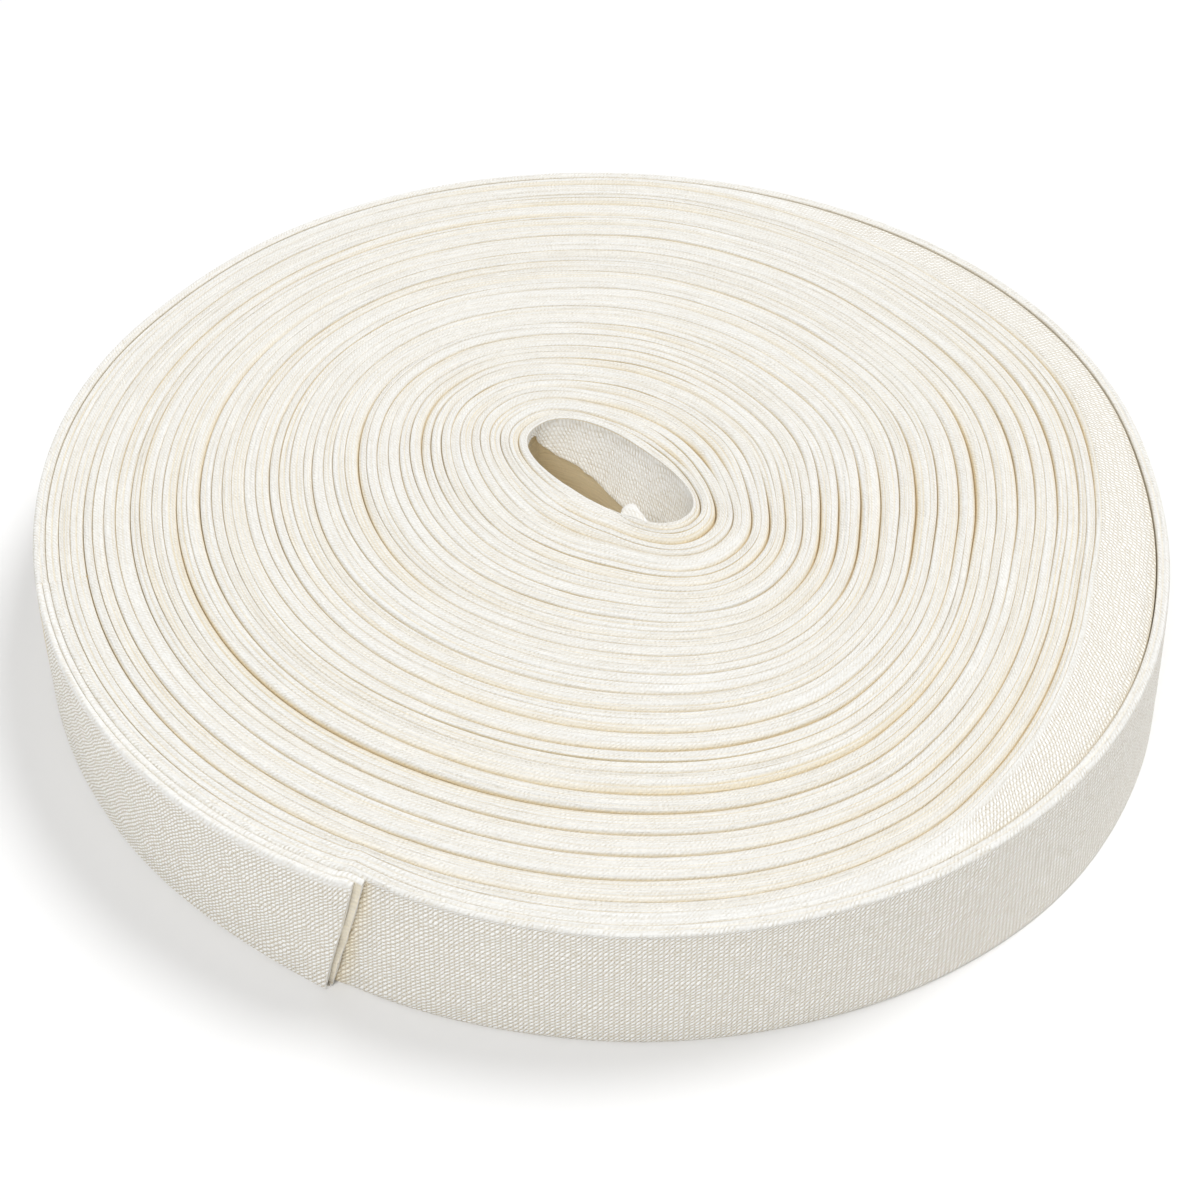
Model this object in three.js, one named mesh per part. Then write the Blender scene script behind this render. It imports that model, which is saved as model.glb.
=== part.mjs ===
// A roll of double-fold bias tape lying flat: one long folded strip of woven cotton wound on itself,
// with a lens-shaped eye through its middle and its outer end standing a little off the wall.
// Millimetres, +Z up. The loose end is at the front left, and the front is towards -Y.
import * as THREE from 'three';

// The tape stands on its edge, so its width is the height of the roll.
const TAPE_WIDTH = 12.7;
const TAPE_THICKNESS = 1.1;
const AIR_GAP = 0.3;

// Angles round the roll are in degrees, counted the way that the tape winds outwards. The roll's own wall
// runs from SEAM_ANGLE once round, and the loose end goes on over it as far as its slanting cut.
const SEAM_ANGLE = -163;
const SEAM_HALF_WIDTH = 0.2;
const FULL_TURN = 360;
const CUT_ANGLE_TOP = 248.5;
const CUT_ANGLE_FOOT = 245.5;
const COLUMNS = 72;

// Outline of the wound tape: radius of its top edge, and how far the foot of the wall stands out past it.
const OUTLINE = [
  { angle: -113, rim: 50.5, flare: 2.2 },
  { angle: -105, rim: 51.5, flare: 1.6 },
  { angle: -97, rim: 52.15, flare: 1.3 },
  { angle: -87, rim: 52.9, flare: 1.1 },
  { angle: -73, rim: 53.45, flare: 1.15 },
  { angle: -60, rim: 53.8, flare: 1.3 },
  { angle: -45, rim: 53.6, flare: 1.6 },
  { angle: -30, rim: 53.05, flare: 1.4 },
  { angle: -15, rim: 52.2, flare: 1.2 },
  { angle: 0, rim: 51.85, flare: 1.0 },
  { angle: 15, rim: 52.2, flare: 0.9 },
  { angle: 30, rim: 52.4, flare: 0.8 },
  { angle: 60, rim: 52.25, flare: 0.7 },
  { angle: 90, rim: 52.45, flare: 0.6 },
  { angle: 120, rim: 53.1, flare: 0.6 },
  { angle: 135, rim: 53.2, flare: 0.7 },
  { angle: 147, rim: 53.0, flare: 0.7 },
  { angle: 160, rim: 53.1, flare: 0.7 },
  { angle: 172, rim: 52.9, flare: 0.8 },
  { angle: 185, rim: 52.45, flare: 0.8 },
  { angle: 197, rim: 52.2, flare: 0.9 },
  { angle: 225, rim: 52.1, flare: 1.1 },
  { angle: 238, rim: 52.0, flare: 1.4 },
  { angle: 249, rim: 51.9, flare: 2.25 },
];

// On the right a turn leans outwards, so that its woven face shows as a crescent between its crest
// and the last turn. This is the width of that face as seen from above.
const LEANING_FACE = [
  { angle: -163, width: 0.6 },
  { angle: -78, width: 0.6 },
  { angle: -60, width: 1.6 },
  { angle: -50, width: 3.0 },
  { angle: -40, width: 4.3 },
  { angle: -30, width: 5.2 },
  { angle: -19, width: 5.5 },
  { angle: -9, width: 4.9 },
  { angle: 14, width: 3.4 },
  { angle: 38, width: 3.6 },
  { angle: 51, width: 2.9 },
  { angle: 64, width: 2.0 },
  { angle: 85, width: 0.6 },
  { angle: 249, width: 0.6 },
];
const FACE_SLOPE = 0.26;
const FACE_SHOULDER = 0.35;

// The last turn, the groove inside it, and the rounding of its edges.
const LAST_TURN_BAND = 1.1;
const LAST_GROOVE_WIDTH = 0.4;
const LAST_GROOVE_DEPTH = 0.5;
const GROOVE_FADE = 0.08;
const EDGE_ROUNDING = 0.35;

// The eye: a lens with blunt tips, long axis from upper left to lower right.
const EYE_CENTRE = new THREE.Vector2(0.7, 0.43);
const EYE_TILT = -43.6;
const EYE_HALF_LENGTH = 9.52;
const EYE_HALF_WIDTH = 4.36;
const EYE_BLUNTNESS = 0.86;
const EYE_TAPER = -0.06;
const EYE_HALVINGS = 40;
const EYE_WALL_POINTS = 4;

// The innermost turn's folded-in edge has sprung open against the far wall of the eye. Its raw edge
// runs from the left tip down to the right, with the wall a little further back below it.
const FLAP = [
  { angle: -163, edge: 8.0, recess: 0.12 },
  { angle: -60, edge: 3.4, recess: 0.12 },
  { angle: 0, edge: 3.4, recess: 0.5 },
  { angle: 50, edge: 3.6, recess: 0.8 },
  { angle: 73, edge: 4.0, recess: 0.8 },
  { angle: 98, edge: 5.8, recess: 0.8 },
  { angle: 123, edge: 7.1, recess: 0.8 },
  { angle: 132, edge: 8.4, recess: 0.7 },
  { angle: 141, edge: 10.6, recess: 0.4 },
  { angle: 155, edge: 10.8, recess: 0.12 },
  { angle: 197, edge: 8.0, recess: 0.12 },
];

// The turns clump into ridges that wind outwards as one spiral, with uneven grooves between them.
const RIDGES = 14;
const RIDGE_POINTS = 3;
const THINNEST_RIDGE = 0.05;
const GROOVE_DEPTH = 0.75;
const GROOVE_UNEVENNESS = 0.4;
const CREST_UNEVENNESS = 0.18;
const SHOULDER_IN = 0.24;
const SHOULDER_OUT = 0.74;
const RIDGE_TO_RIDGE = 2.4;
const ALONG_RIDGE = 1.7;
const SWAY = 0.9;

// The loose end is the folded tape with its fold at the foot and its two halves a little apart.
const HALF_THICKNESS = 0.45;
const FOLD_HEIGHT = 0.7;
const LOOSE_COLUMNS = 16;
const INNER_HALF_LEAD = 0.55;

const CLOTH_COLOUR = 0xf5f1e6;
const CLOTH_ROUGHNESS = 0.85;

/** A smooth curve through one column of a table whose rows are sorted by angle. */
function lookUp(table, column, angle) {
  const last = table.length - 1;
  let i = 0;
  while (i < last - 1 && table[i + 1].angle < angle) {
    i += 1;
  }
  const slopeAt = (k) => {
    const before = table[Math.max(k - 1, 0)];
    const after = table[Math.min(k + 1, last)];
    return (after[column] - before[column]) / (after.angle - before.angle);
  };
  const a = table[i];
  const b = table[i + 1];
  const span = b.angle - a.angle;
  const t = THREE.MathUtils.clamp((angle - a.angle) / span, 0, 1);
  const fromA = (1 + 2 * t) * (1 - t) * (1 - t) * a[column] + t * (1 - t) * (1 - t) * span * slopeAt(i);
  const fromB = t * t * (3 - 2 * t) * b[column] - t * t * (1 - t) * span * slopeAt(i + 1);
  return fromA + fromB;
}

/** The direction of an angle round the roll, seen from above. */
function direction(angle) {
  const turn = THREE.MathUtils.degToRad(angle);
  return new THREE.Vector2(Math.cos(turn), Math.sin(turn));
}

/** Radius of the roll's own top edge, which is one turn further in where the loose end lies over it. */
function rimRadius(angle) {
  const firstOutside = OUTLINE[0].angle;
  if (angle >= firstOutside) {
    return lookUp(OUTLINE, 'rim', angle);
  }
  return lookUp(OUTLINE, 'rim', angle + FULL_TURN) - TAPE_THICKNESS - AIR_GAP;
}

/** How far the roll's wall stands out at its foot. */
function wallFlare(angle) {
  const firstOutside = OUTLINE[0].angle;
  return lookUp(OUTLINE, 'flare', angle >= firstOutside ? angle : angle + FULL_TURN);
}

/** Distance from the eye's centre to its edge: the lens's own parameter is found by halving. */
function eyeRadius(angle) {
  const wanted = THREE.MathUtils.degToRad(angle - EYE_TILT);
  const goal = Math.atan2(Math.sin(wanted), Math.cos(wanted));
  const power = (value) => Math.sign(value) * Math.abs(value) ** EYE_BLUNTNESS;
  const onLens = (t) => {
    const along = EYE_HALF_LENGTH * power(Math.cos(t));
    const taper = 1 + (EYE_TAPER * along) / EYE_HALF_LENGTH;
    return new THREE.Vector2(along, EYE_HALF_WIDTH * power(Math.sin(t)) * taper);
  };
  let low = goal >= 0 ? 0 : -Math.PI;
  let high = low + Math.PI;
  for (let step = 0; step < EYE_HALVINGS; step += 1) {
    const middle = (low + high) / 2;
    const point = onLens(middle);
    if (Math.atan2(point.y, point.x) < goal) {
      low = middle;
    } else {
      high = middle;
    }
  }
  return onLens((low + high) / 2).length();
}

/** Unevenness from -1 to 1 that changes slowly along the winding and from ridge to ridge. */
function unevenness(winding, angle) {
  const turn = THREE.MathUtils.degToRad(angle);
  return Math.sin(RIDGE_TO_RIDGE * winding + ALONG_RIDGE * Math.sin(turn + SWAY * winding));
}

/** Points of the roll's section at one angle, as plan position and height, from the eye's foot round to the wall's. */
function rollSection(angle) {
  const out = direction(angle);
  const eyeEdge = out.clone().multiplyScalar(eyeRadius(angle)).add(EYE_CENTRE);
  const rim = rimRadius(angle);
  const flare = wallFlare(angle);
  const faceWidth = lookUp(LEANING_FACE, 'width', angle);
  const faceDrop = faceWidth * FACE_SLOPE;
  const turned = (angle - SEAM_ANGLE) / FULL_TURN;
  const grooveOuter = rim - LAST_TURN_BAND;
  const grooveInner = grooveOuter - LAST_GROOVE_WIDTH;
  const grooveDepth = LAST_GROOVE_DEPTH * THREE.MathUtils.smoothstep(turned, -GROOVE_FADE / 2, GROOVE_FADE);
  const flat = faceWidth + turned * (TAPE_THICKNESS + AIR_GAP);
  const crest = grooveInner - flat;
  const crestEdge = out.clone().multiplyScalar(crest);
  const section = [];
  const atRadius = (radius, z) => section.push(new THREE.Vector3(out.x * radius, out.y * radius, z));
  const fromEye = (distance, z) => section.push(
    new THREE.Vector3(eyeEdge.x + out.x * distance, eyeEdge.y + out.y * distance, z),
  );
  const between = (share, z) => section.push(
    new THREE.Vector3(
      THREE.MathUtils.lerp(eyeEdge.x, crestEdge.x, share),
      THREE.MathUtils.lerp(eyeEdge.y, crestEdge.y, share),
      z,
    ),
  );

  // The far wall of the eye, with the sprung-open flap's raw edge.
  const recess = lookUp(FLAP, 'recess', angle);
  const flapEdge = lookUp(FLAP, 'edge', angle);
  fromEye(recess, 0);
  fromEye(recess, flapEdge);
  fromEye(0, flapEdge);
  fromEye(0, TAPE_WIDTH - GROOVE_DEPTH);

  // The ridges, of which the first grows and the last dies away over one turn of the spiral.
  const bounds = Array.from({ length: RIDGES + 2 }, (_, k) => THREE.MathUtils.clamp(k - 1 + turned, 0, RIDGES));
  bounds[1] = Math.max(bounds[1], THINNEST_RIDGE);
  bounds[RIDGES] = Math.min(bounds[RIDGES], RIDGES - THINNEST_RIDGE);
  for (let k = 0; k <= RIDGES; k += 1) {
    const width = bounds[k + 1] - bounds[k];
    const winding = k + turned;
    const depth = GROOVE_DEPTH * (1 - GROOVE_UNEVENNESS * unevenness(winding, angle)) * Math.sqrt(width);
    const crestHeight = TAPE_WIDTH - CREST_UNEVENNESS * (1 + unevenness(winding + 0.5, angle));
    const grooveIn = k > 0 ? 0 : SHOULDER_IN / 2;
    between((bounds[k] + grooveIn * width) / RIDGES, crestHeight - depth);
    between((bounds[k] + SHOULDER_IN * width) / RIDGES, crestHeight);
    between((bounds[k] + SHOULDER_OUT * width) / RIDGES, crestHeight);
  }

  // The leaning face, the last groove, the last turn's band, the flared wall and the flat underside.
  atRadius(crest, TAPE_WIDTH);
  atRadius(crest + flat / 2, TAPE_WIDTH - faceDrop * FACE_SHOULDER);
  atRadius(grooveInner, TAPE_WIDTH - faceDrop);
  atRadius(grooveInner + LAST_GROOVE_WIDTH / 2, TAPE_WIDTH - faceDrop - grooveDepth);
  atRadius(grooveOuter, TAPE_WIDTH - EDGE_ROUNDING / 2);
  atRadius((grooveOuter + rim) / 2, TAPE_WIDTH);
  atRadius(rim - EDGE_ROUNDING / 2, TAPE_WIDTH - EDGE_ROUNDING / 2);
  atRadius(rim, TAPE_WIDTH - 2 * EDGE_ROUNDING);
  atRadius(rim + flare, EDGE_ROUNDING);
  atRadius(rim + flare - EDGE_ROUNDING, 0);
  return section;
}

/** Triangles between two neighbouring sections, from the pairs of points that face each other. */
function stitch(pairs, columnA, columnB, pointsPerColumn, index) {
  const a = (k) => columnA * pointsPerColumn + k;
  const b = (k) => columnB * pointsPerColumn + k;
  pairs.forEach(([a0, b0], k) => {
    const [a1, b1] = pairs[(k + 1) % pairs.length];
    if (b0 !== b1) {
      index.push(a(a0), b(b1), b(b0));
    }
    if (a0 !== a1) {
      index.push(a(a0), a(a1), b(b1));
    }
  });
}

/** A named mesh from points and triangles. */
function meshOf(name, points, index) {
  const geometry = new THREE.BufferGeometry();
  geometry.setAttribute('position', new THREE.Float32BufferAttribute(points.flatMap((p) => p.toArray()), 3));
  geometry.setIndex(index);
  geometry.computeVertexNormals();
  const material = new THREE.MeshStandardMaterial({
    color: CLOTH_COLOUR,
    roughness: CLOTH_ROUGHNESS,
    metalness: 0,
    flatShading: true,
  });
  const mesh = new THREE.Mesh(geometry, material);
  mesh.name = name;
  return mesh;
}

/** The wound tape as one ring. Past the seam each ridge meets the next one out, as a spiral does. */
function buildRoll() {
  const first = SEAM_ANGLE + SEAM_HALF_WIDTH;
  const sweep = FULL_TURN - 2 * SEAM_HALF_WIDTH;
  const sections = Array.from({ length: COLUMNS }, (_, i) => rollSection(first + (sweep * i) / (COLUMNS - 1)));
  const count = sections[0].length;
  const index = [];
  const straight = Array.from({ length: count }, (_, k) => [k, k]);
  for (let i = 0; i < COLUMNS - 1; i += 1) {
    stitch(straight, i, i + 1, count, index);
  }
  const ridgesStart = EYE_WALL_POINTS;
  const ridgesEnd = ridgesStart + (RIDGES + 1) * RIDGE_POINTS;
  const shifted = [];
  for (let k = 0; k < ridgesStart; k += 1) {
    shifted.push([k, k]);
  }
  for (let k = ridgesStart; k < ridgesStart + RIDGE_POINTS; k += 1) {
    shifted.push([ridgesStart - 1, k]);
  }
  for (let k = ridgesStart; k < ridgesEnd - RIDGE_POINTS; k += 1) {
    shifted.push([k, k + RIDGE_POINTS]);
  }
  for (let k = ridgesEnd - RIDGE_POINTS; k < ridgesEnd; k += 1) {
    shifted.push([k, ridgesEnd - 1]);
  }
  for (let k = ridgesEnd; k < count; k += 1) {
    shifted.push([k, k]);
  }
  stitch(shifted, COLUMNS - 1, 0, count, index);
  return meshOf('roll', sections.flat(), index);
}

/** The loose end: a U of cloth with its fold at the foot, cut off on a slant. */
function buildLooseEnd() {
  const innerFace = AIR_GAP;
  const slotInner = innerFace + HALF_THICKNESS;
  const slotOuter = innerFace + TAPE_THICKNESS - HALF_THICKNESS;
  const outerFace = innerFace + TAPE_THICKNESS;
  const top = TAPE_WIDTH - EDGE_ROUNDING / 2;
  const section = [
    { off: innerFace, z: EDGE_ROUNDING, lead: INNER_HALF_LEAD },
    { off: innerFace, z: top, lead: INNER_HALF_LEAD },
    { off: slotInner, z: top, lead: INNER_HALF_LEAD },
    { off: slotInner, z: FOLD_HEIGHT, lead: INNER_HALF_LEAD },
    { off: slotOuter, z: FOLD_HEIGHT, lead: 0 },
    { off: slotOuter, z: top, lead: 0 },
    { off: outerFace, z: top, lead: 0 },
    { off: outerFace, z: EDGE_ROUNDING, lead: 0 },
    { off: outerFace - EDGE_ROUNDING, z: 0, lead: 0 },
    { off: innerFace + EDGE_ROUNDING, z: 0, lead: INNER_HALF_LEAD },
  ];
  const clearOfSeam = THREE.MathUtils.radToDeg(AIR_GAP / OUTLINE[0].rim);
  const start = SEAM_ANGLE + SEAM_HALF_WIDTH + clearOfSeam;
  const points = [];
  for (let i = 0; i <= LOOSE_COLUMNS; i += 1) {
    section.forEach(({ off, z, lead }) => {
      const cut = THREE.MathUtils.lerp(CUT_ANGLE_FOOT, CUT_ANGLE_TOP, z / TAPE_WIDTH) - FULL_TURN + lead;
      const angle = THREE.MathUtils.lerp(start, cut, i / LOOSE_COLUMNS);
      const wall = rimRadius(angle) + wallFlare(angle) * (1 - z / TAPE_WIDTH);
      const out = direction(angle);
      points.push(new THREE.Vector3(out.x * (wall + off), out.y * (wall + off), z));
    });
  }
  const count = section.length;
  const index = [];
  const straight = section.map((_, k) => [k, k]);
  for (let i = 0; i < LOOSE_COLUMNS; i += 1) {
    stitch(straight, i, i + 1, count, index);
  }
  const outline = section.map(({ off, z }) => new THREE.Vector2(off, z));
  THREE.ShapeUtils.triangulateShape(outline, []).forEach(([a, b, c]) => {
    const lastColumn = LOOSE_COLUMNS * count;
    index.push(a, b, c);
    index.push(lastColumn + a, lastColumn + c, lastColumn + b);
  });
  return meshOf('loose_end', points, index);
}

const tape = new THREE.Group();
tape.add(buildRoll(), buildLooseEnd());

// The origin is the middle of the box round the roll, on the surface that it lies on.
const box = new THREE.Box3().setFromObject(tape);
const middle = box.getCenter(new THREE.Vector3());
tape.position.set(-middle.x, -middle.y, -box.min.z);
tape.updateMatrixWorld(true);

export default tape;
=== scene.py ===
"""A roll of double-fold bias tape: the looks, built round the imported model.

The tape is one folded strip wound in a spiral. Its turns are one relief of folded edges with grooves
between them, in three lengths from the eye outwards, and then come the last turn and the loose end.
Sizes are in millimetres and angles in degrees, counted as the tape winds outwards. Meshes are in metres.
"""

import math

import bpy
import numpy as np
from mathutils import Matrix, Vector


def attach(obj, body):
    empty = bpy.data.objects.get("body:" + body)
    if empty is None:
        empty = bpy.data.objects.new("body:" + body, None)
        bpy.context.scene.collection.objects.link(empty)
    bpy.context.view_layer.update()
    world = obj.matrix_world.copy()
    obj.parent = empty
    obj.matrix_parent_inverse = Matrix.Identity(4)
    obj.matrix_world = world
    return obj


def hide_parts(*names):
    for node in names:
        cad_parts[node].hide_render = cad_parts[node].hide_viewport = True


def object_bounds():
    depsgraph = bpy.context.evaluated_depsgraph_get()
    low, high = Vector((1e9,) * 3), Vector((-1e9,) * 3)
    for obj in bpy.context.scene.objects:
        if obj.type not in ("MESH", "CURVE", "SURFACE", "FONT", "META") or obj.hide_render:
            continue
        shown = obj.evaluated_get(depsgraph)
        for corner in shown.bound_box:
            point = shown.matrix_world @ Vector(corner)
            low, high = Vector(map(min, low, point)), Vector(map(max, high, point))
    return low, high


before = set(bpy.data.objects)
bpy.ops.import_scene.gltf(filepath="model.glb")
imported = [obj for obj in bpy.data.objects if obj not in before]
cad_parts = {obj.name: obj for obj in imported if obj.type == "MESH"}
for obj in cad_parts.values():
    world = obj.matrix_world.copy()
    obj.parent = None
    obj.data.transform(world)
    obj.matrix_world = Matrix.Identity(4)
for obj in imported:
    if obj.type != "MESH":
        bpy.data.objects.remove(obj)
cad_box = [list(corner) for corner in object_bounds()]

MM = 0.001
FULL_TURN = 360.0

# The tape on its edge: its width is the height of the roll.
TAPE_WIDTH = (cad_box[1][2] - cad_box[0][2]) / MM
TAPE_THICKNESS = 1.1
AIR_GAP = 0.05
PLY = 0.25

# The wound tape. The roll's own wall runs from the seam once round, and the loose end goes on over it.
SEAM_ANGLE = -163.0
CUT_ANGLE_TOP = 248.5
CUT_ANGLE_FOOT = 245.5
COLUMNS = 264

# Outline: radius of the top edge, and how far the foot of the wall stands out past it.
OUTLINE_COLUMNS = ("angle", "rim", "flare")
OUTLINE = [
    (-113, 50.5, 2.2),
    (-105, 51.5, 1.6),
    (-97, 52.15, 1.3),
    (-87, 52.9, 1.1),
    (-73, 53.45, 1.15),
    (-60, 53.8, 1.3),
    (-45, 53.6, 1.6),
    (-30, 53.05, 1.4),
    (-15, 52.2, 1.2),
    (0, 51.85, 1.0),
    (15, 52.2, 0.9),
    (30, 52.4, 0.8),
    (60, 52.25, 0.7),
    (90, 52.45, 0.6),
    (120, 53.1, 0.6),
    (135, 53.2, 0.7),
    (147, 53.0, 0.7),
    (160, 53.1, 0.7),
    (172, 52.9, 0.8),
    (185, 52.45, 0.8),
    (197, 52.2, 0.9),
    (225, 52.1, 1.1),
    (238, 52.0, 1.4),
    (249, 51.9, 2.25),
]

# On the right the last turn but one leans outwards and shows its woven face, this wide from above.
FACE_COLUMNS = ("angle", "width")
LEANING_FACE = [
    (-163, 0.0),
    (-78, 0.0),
    (-60, 1.0),
    (-50, 2.4),
    (-40, 3.7),
    (-30, 4.6),
    (-19, 4.9),
    (-9, 4.3),
    (14, 2.8),
    (38, 3.0),
    (51, 2.3),
    (64, 1.4),
    (85, 0.0),
    (249, 0.0),
]
FACE_SLOPE = 0.07
FACE_SHOULDER = 0.35
FACE_DROP = 0.01
FACE_ROWS = 10
# Painted shade: little on the leaning face, more across its outer edge as it turns into the groove.
FACE_SHADE = 0.03
FACE_EDGE_SHADES = (0.08, 0.14, 0.22, 0.35, 0.6)

# The last turn, and the groove inside it. The turns well inside smooth out the rim's step beside the cut.
LAST_TURN_BAND = 1.1
LAST_GROOVE_INSIDE = 0.05
LAST_GROOVE_TIGHT = 0.01
LAST_GROOVE_OUTSIDE = 0.02
LAST_GROOVE_OPENNESS = 0.02
RIM_SMOOTHING = 9.0

# The eye: a lens with blunt tips, long axis from upper left to lower right.
EYE_CENTRE = (0.7, 0.43)
EYE_TILT = -43.6
EYE_HALF_LENGTH = 9.52
EYE_HALF_WIDTH = 4.36
EYE_BLUNTNESS = 0.86
EYE_TAPER = -0.06

# The innermost turn's folded-in edge has sprung open and leans from the far rim into the eye: height of its
# raw edge, how far the wall goes back past the rim, most at the eye's tip, and how far the edge juts out.
FLAP_COLUMNS = ("angle", "edge", "recess", "jut")
FLAP = [
    (-163, 8.0, 0.12, 0.0),
    (-60, 6.2, 0.12, 0.0),
    (-44, 6.3, 0.12, 0.2),
    (-28, 6.6, 0.12, 1.0),
    (-8, 6.9, 0.12, 2.3),
    (13, 7.2, 0.12, 3.1),
    (38, 7.6, 0.12, 3.25),
    (66, 7.9, 0.12, 3.0),
    (87, 8.3, 0.12, 2.67),
    (100, 8.6, 0.12, 2.5),
    (109, 9.0, 0.15, 2.25),
    (119, 9.4, 0.25, 1.85),
    (130, 10.3, 0.4, 1.1),
    (135, 11.0, 0.45, 0.45),
    (138, 11.4, 0.5, 0.05),
    (146, 11.5, 0.35, 0.0),
    (158, 10.8, 0.12, 0.0),
    (197, 8.0, 0.12, 0.0),
]
# How the flap curves down to its edge, and how far that edge stands out from the wall below it.
FLAP_CURVE = 0.9
FLAP_STEP = 0.5

# The turns. The tape starts at START_ANGLE in the eye, and its first turn squeezes in over START_RUN.
TURNS = 43
START_ANGLE = -58.0
START_RUN = 34.0
FIRST_OF_PIECE = (0, 15, 30)

# Heights of the folded edges and depth of the grooves between turns.
SHALLOW_GROOVE = 0.12
DEEP_GROOVE = 1.1
TIGHT_GAP = 0.01
OPEN_GAP = 0.1
EDGE_SHARE_OF_GROOVE = 0.62
TURN_UNEVENNESS = 0.2
CREST_RIPPLE = 0.02
SLOPE_TO_GROOVE = 0.4
TOP_LEAN = 0.06
SLIT_UNEVENNESS = 0.9
# A turn that is squeezed in narrower than this loses its relief.
SQUEEZED_WIDTH = 0.5
LEAST_BODY = 0.02
MOST_OF_GAP = 0.3

# The turns sway between the eye and the outline, not at their ends.
SWAY = 0.2
SHORT_SWAY = 0.1
SWAY_FADE = 1.5

# Grooves open in clumps of this many turns, shifted round the roll. On the left they are more even.
CLUMP = 2.05
CLUMP_SHIFT = 1.5
CLUMP_SHIFT_START = 0.7
CLUMP_SMALL_SHIFT = 0.8
CLUMP_SHARPNESS = 1.6
OWN_SHARE = 0.6
LEFT_SIDE = (0.2, 0.95)
LEFT_TURN = 0.15
EVEN_SHARE = 0.75
EVEN_LEAST = 0.08
EVEN_SPREAD = 0.55
EVEN_SHARPNESS = 1.5

# Painted shade: hollows are painted darker and tan by their depth, from 0, the palest, a painted light, by
# way of the crests to 1.
# The line, flank and shoulder of a groove have one painted shade when it is shut and another when it is
# open.
CREST_SHADE = 0.06
SLIT_SHADE = 0.1
LINE_SHADE = (0.75, 1.0)
FLANK_SHADE = (0.35, 0.7)
SHOULDER_SHADE = (0.08, 0.3)
SHADE_START = 0.24
SHADE_DEPTH = 0.9

# How clearly the weave shows on the folded edges, how much more on the leaning face, and on the foot.
EDGE_WEAVE = 0.3
FACE_WEAVE = 0.6
FOOT_WEAVE = 0.6

# Random walks: a seed, and the distance over which each changes, in mm or in degrees of winding.
WALK_KNOTS = 8192
WALKS = {
    "sway": (11, 150.0),
    "short sway": (12, 47.0),
    "openness": (21, 70.0),
    "sink": (31, 60.0),
    "crest ripple": (32, 9.0),
    "ply slits": (41, 33.0),
    "lean": (42, 80.0),
    "raw edge": (51, 0.9),
    "raw edge waves": (52, 2.3),
    "last ripple": (61, 3.1),
    "last waves": (62, 11.0),
    "last sink": (63, 25.0),
    "last slit": (64, 8.0),
    "wall waves": (71, 21.0),
    "wall ripple": (72, 6.0),
    "cut fray": (81, 0.5),
}


def column_of(table, names, name):
    return np.array([row[names.index(name)] for row in table], float)


def look_up(table, names, name, angle):
    """A smooth curve through one column of a table whose rows are sorted by angle."""
    x = column_of(table, names, "angle")
    y = column_of(table, names, name)
    last = len(x) - 1
    before = np.maximum(np.arange(last + 1) - 1, 0)
    after = np.minimum(np.arange(last + 1) + 1, last)
    slope = (y[after] - y[before]) / (x[after] - x[before])
    i = np.clip(np.searchsorted(x, angle) - 1, 0, last - 1)
    span = x[i + 1] - x[i]
    t = np.clip((angle - x[i]) / span, 0, 1)
    from_a = (1 + 2 * t) * (1 - t) ** 2 * y[i] + t * (1 - t) ** 2 * span * slope[i]
    from_b = t * t * (3 - 2 * t) * y[i + 1] - t * t * (1 - t) * span * slope[i + 1]
    return from_a + from_b


def smooth_step(low, high, value):
    t = np.clip((value - low) / (high - low), 0, 1)
    return t * t * (3 - 2 * t)


def wander(position, walk, row=0):
    """A smooth random walk from -1 to 1. Where several rows have one each, the row shifts its seed."""
    seed, reach = WALKS[walk]
    knots = np.random.default_rng(seed + row).uniform(-1, 1, WALK_KNOTS)
    x = np.asarray(position, float) / reach
    i = np.floor(x).astype(int)
    f = x - i
    f = f * f * (3 - 2 * f)
    return knots[i % WALK_KNOTS] * (1 - f) + knots[(i + 1) % WALK_KNOTS] * f


def direction(angle):
    turn = np.radians(angle)
    return np.stack([np.cos(turn), np.sin(turn)], -1)


def outline(name, angle):
    return look_up(OUTLINE, OUTLINE_COLUMNS, name, angle)


def rim_radius(angle):
    """Radius of the roll's own top edge, one turn further in where the loose end lies over it."""
    outside = outline("rim", angle)
    under = outline("rim", angle + FULL_TURN) - TAPE_THICKNESS - AIR_GAP
    return np.where(angle >= OUTLINE[0][0], outside, under)


def wall_flare(angle):
    outside = outline("flare", angle)
    under = outline("flare", angle + FULL_TURN)
    return np.where(angle >= OUTLINE[0][0], outside, under)


def face_width(angle):
    width = look_up(LEANING_FACE, FACE_COLUMNS, "width", angle)
    return np.where(width > 0.03, width, 0)


def eye_edge(angle):
    """Points on the eye's edge, seen from its centre at these angles."""
    t = np.linspace(-np.pi, np.pi, 2881)
    along = EYE_HALF_LENGTH * np.sign(np.cos(t)) * np.abs(np.cos(t)) ** EYE_BLUNTNESS
    across = EYE_HALF_WIDTH * np.sign(np.sin(t)) * np.abs(np.sin(t)) ** EYE_BLUNTNESS
    across = across * (1 + EYE_TAPER * along / EYE_HALF_LENGTH)
    seen = np.degrees(np.arctan2(across, along))
    seen[0], seen[-1] = -180, 180
    wanted = (angle - EYE_TILT + 180) % FULL_TURN - 180
    radius = np.interp(wanted, seen, np.hypot(along, across))
    return direction(angle) * radius[..., None] + np.array(EYE_CENTRE)


def turned(angle):
    """How much of a turn lies between the seam and this angle."""
    return (angle - SEAM_ANGLE) / FULL_TURN


def eye_winding(angle):
    """Which turn, counted in parts, lies at the eye's edge."""
    return turned(angle) - smooth_step(START_ANGLE - START_RUN, START_ANGLE, angle)


def last_groove_radius(angle):
    return rim_radius(angle) - LAST_TURN_BAND - LAST_GROOVE_OUTSIDE


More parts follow.
